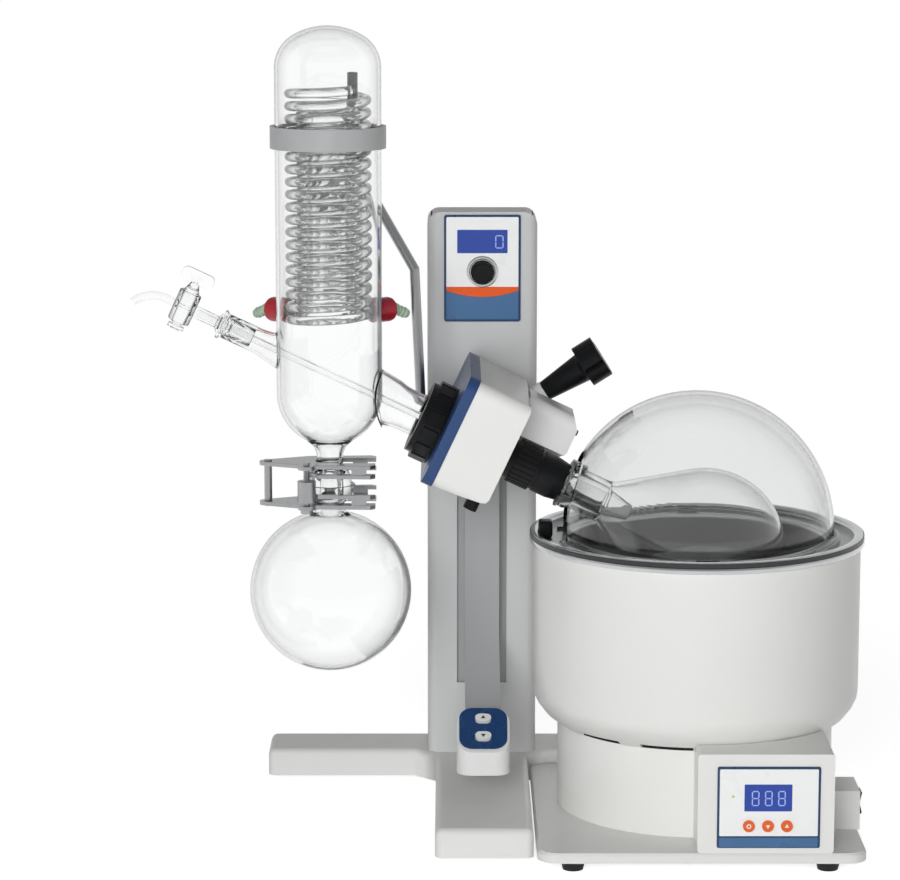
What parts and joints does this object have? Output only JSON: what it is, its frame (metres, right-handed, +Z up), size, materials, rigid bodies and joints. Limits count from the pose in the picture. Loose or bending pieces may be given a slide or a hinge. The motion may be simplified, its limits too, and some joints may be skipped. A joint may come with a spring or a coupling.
{
  "type": "rotary evaporator",
  "caption": "Bench rotary evaporator with a motor lift, tilting head, spinning flask, vertical coil condenser, receiving flask and domed heating bath.",
  "frame": {"origin": "on the bench under the middle of the column", "axes": "+Z up, -Y towards the user, +X from the condenser to the heating bath"},
  "size_m": [0.5914, 0.3427, 0.648],
  "materials": {
    "white_paint": "fine satin powder coat",
    "grey_paint": "satin paint",
    "blue_paint": "satin paint",
    "rubber": "matte",
    "black_plastic": "fine moulded grain",
    "white_plastic": "satin moulded",
    "blue_plastic": "printed film",
    "orange_plastic": "satin moulded",
    "red_plastic": "ribbed moulded",
    "green_plastic": "translucent moulded",
    "panel": "printed film",
    "circuit_board": "lacquered board",
    "ptfe": "turned",
    "steel": "turned and brushed",
    "satin_grey": "satin",
    "stainless": "spun stainless",
    "cast_aluminium": "as cast",
    "bronze": "sintered",
    "glass": "clear borosilicate",
    "clear_plastic": "clear polycarbonate"
  },
  "bodies": {
    "stand": {"base_casting": "white_paint", "base_pads": "rubber", "column_shell": "white_paint", "rear_cover": "white_paint", "power_inlet": "black_plastic", "guide_rails": "steel", "actuator_body": "black_plastic", "control_board": "circuit_board", "control_panel": "panel"},
    "speed_knob": {"speed_knob": "black_plastic"},
    "mains_switch": {"mains_rocker": "black_plastic"},
    "lift": {"lift_carriage": "cast_aluminium", "guide_bushes": "bronze", "actuator_rod": "steel", "lift_arm": "white_paint", "pod_shell": "white_plastic", "pod_face": "blue_plastic"},
    "up_button": {"up_button": "white_plastic"},
    "down_button": {"down_button": "white_plastic"},
    "head": {"head_housing": "white_paint", "head_flange": "blue_paint", "bearings": "steel", "drive_motor": "steel", "motor_cover": "grey_paint", "shaft_seal": "ptfe", "support_rod": "steel", "condenser_clamp": "satin_grey", "condenser_body": "glass", "condenser_coil": "glass", "hose_caps": "red_plastic", "hose_barbs": "green_plastic", "feed_tube": "glass", "clamp_upper_fork": "steel", "clamp_lower_fork": "steel", "receiving_flask": "glass"},
    "pinion": {"motor_pinion": "bronze"},
    "lock_button": {"spindle_lock_button": "black_plastic"},
    "tilt_knob": {"tilt_lock_knob": "black_plastic"},
    "condenser_nut": {"condenser_nut": "black_plastic"},
    "stopcock": {"stopcock_key": "glass"},
    "spindle": {"spindle_shaft": "steel", "drive_gear": "steel", "release_sleeve": "black_plastic", "vapour_tube": "glass", "flask_clip": "steel", "evaporating_flask": "glass"},
    "bath": {"bath_base": "white_paint", "bath_feet": "rubber", "bath_pedestal": "white_paint", "bath_shell": "white_paint", "bath_pot": "stainless", "bath_heater": "cast_aluminium", "bath_control_box": "white_paint", "bath_panel": "panel"},
    "bath_button_left": {"bath_button_left": "orange_plastic"},
    "bath_button_middle": {"bath_button_middle": "orange_plastic"},
    "bath_button_right": {"bath_button_right": "orange_plastic"},
    "bath_switch": {"bath_rocker": "black_plastic"},
    "dome": {"dome_cover": "clear_plastic", "dome_clips": "black_plastic"}
  },
  "joints": [
    {"name": "lift", "type": "slide", "parent": "stand", "child": "lift", "axis": [0, 0, 1], "range_m": [0, 0.085]},
    {"name": "head_tilt", "type": "hinge", "parent": "lift", "child": "head", "pos_m": [0, -0.148, 0.311], "axis": [0, 1, 0], "range_deg": [-4, 8]},
    {"name": "spindle_spin", "type": "hinge", "parent": "head", "child": "spindle", "pos_m": [0, -0.148, 0.311], "axis": [0.9048, 0, -0.4258], "continuous": true},
    {"name": "pinion_spin", "type": "hinge", "parent": "head", "child": "pinion", "pos_m": [0.01192, -0.12085, 0.33633], "axis": [0.9048, 0, -0.4258], "continuous": true},
    {"name": "condenser_nut_turn", "type": "hinge", "parent": "head", "child": "condenser_nut", "pos_m": [-0.04072, -0.148, 0.33016], "axis": [0.9048, 0, -0.4258], "range_deg": [-270, 0]},
    {"name": "spindle_lock", "type": "slide", "parent": "head", "child": "lock_button", "axis": [0.4258, 0, 0.9048], "range_m": [0, 0.003], "stiffness_N_per_m": 150, "springref_m": -0.002},
    {"name": "tilt_lock_turn", "type": "hinge", "parent": "head", "child": "tilt_knob", "pos_m": [0.06747, -0.073, 0.35398], "axis": [0.8434, 0, 0.5373], "range_deg": [0, 360]},
    {"name": "stopcock_turn", "type": "hinge", "parent": "head", "child": "stopcock", "pos_m": [-0.23978, -0.148, 0.42383], "axis": [0.4258, 0, 0.9048], "range_deg": [0, 180]},
    {"name": "up_press", "type": "slide", "parent": "lift", "child": "up_button", "axis": [0, 0.5664, -0.8241], "range_m": [0, 0.0015], "stiffness_N_per_m": 300, "springref_m": -0.002},
    {"name": "down_press", "type": "slide", "parent": "lift", "child": "down_button", "axis": [0, 0.5664, -0.8241], "range_m": [0, 0.0015], "stiffness_N_per_m": 300, "springref_m": -0.002},
    {"name": "speed_turn", "type": "hinge", "parent": "stand", "child": "speed_knob", "pos_m": [0, -0.04, 0.4387], "axis": [0, 1, 0], "continuous": true},
    {"name": "mains_rock", "type": "hinge", "parent": "stand", "child": "mains_switch", "pos_m": [-0.016, 0.0355, 0.137], "axis": [1, 0, 0], "range_deg": [-8, 8]},
    {"name": "bath_slide", "type": "slide", "parent": "stand", "child": "bath", "axis": [1, 0, 0], "range_m": [0, 0.03]},
    {"name": "bath_press_left", "type": "slide", "parent": "bath", "child": "bath_button_left", "axis": [0, 1, 0], "range_m": [0, 0.0015], "stiffness_N_per_m": 300, "springref_m": -0.002},
    {"name": "bath_press_middle", "type": "slide", "parent": "bath", "child": "bath_button_middle", "axis": [0, 1, 0], "range_m": [0, 0.0015], "stiffness_N_per_m": 300, "springref_m": -0.002},
    {"name": "bath_press_right", "type": "slide", "parent": "bath", "child": "bath_button_right", "axis": [0, 1, 0], "range_m": [0, 0.0015], "stiffness_N_per_m": 300, "springref_m": -0.002},
    {"name": "bath_rock", "type": "hinge", "parent": "bath", "child": "bath_switch", "pos_m": [0.299, -0.216, 0.034], "axis": [0, 1, 0], "range_deg": [-8, 8]},
    {"name": "dome_lift", "type": "slide", "parent": "bath", "child": "dome", "axis": [0, 0, 1], "range_m": [0, 0.085]}
  ],
  "couplings": [
    {"joint": "pinion_spin", "follows": "spindle_spin", "ratio": -2.5455},
    {"joint": "dome_lift", "follows": "lift", "ratio": 1}
  ]
}
